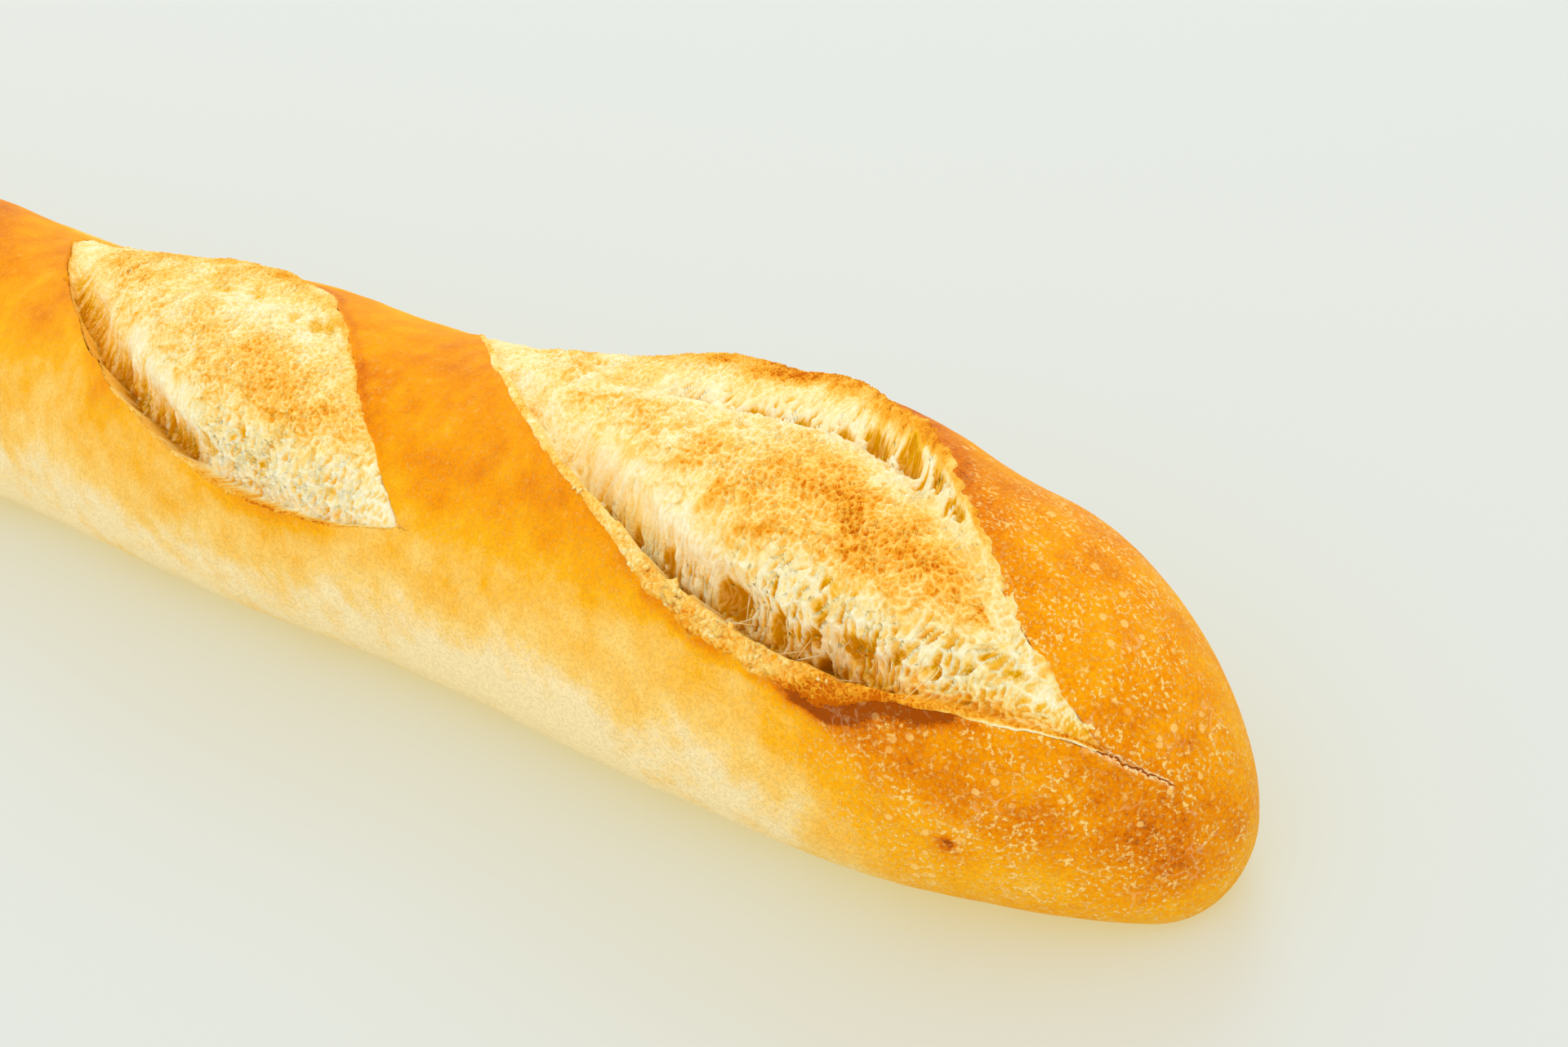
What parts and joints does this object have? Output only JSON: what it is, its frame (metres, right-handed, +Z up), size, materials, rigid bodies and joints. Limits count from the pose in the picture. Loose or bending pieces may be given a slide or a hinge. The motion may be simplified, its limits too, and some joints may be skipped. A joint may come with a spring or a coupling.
{
  "type": "baguette",
  "caption": "Long slim loaf of white bread with rounded heels, a flat base and slanting torn openings along its crown.",
  "frame": {"origin": "on the base, in the middle of the loaf's length and width", "axes": "+X along the loaf to its front heel, +Z up, -Y to the side that the openings slant towards"},
  "size_m": [0.65, 0.068, 0.056],
  "materials": {
    "crust": "baked crust, matte with a slight sheen, golden to orange-brown, pale cream in the openings"
  },
  "bodies": {
    "root": {"loaf": "crust"}
  },
  "joints": []
}
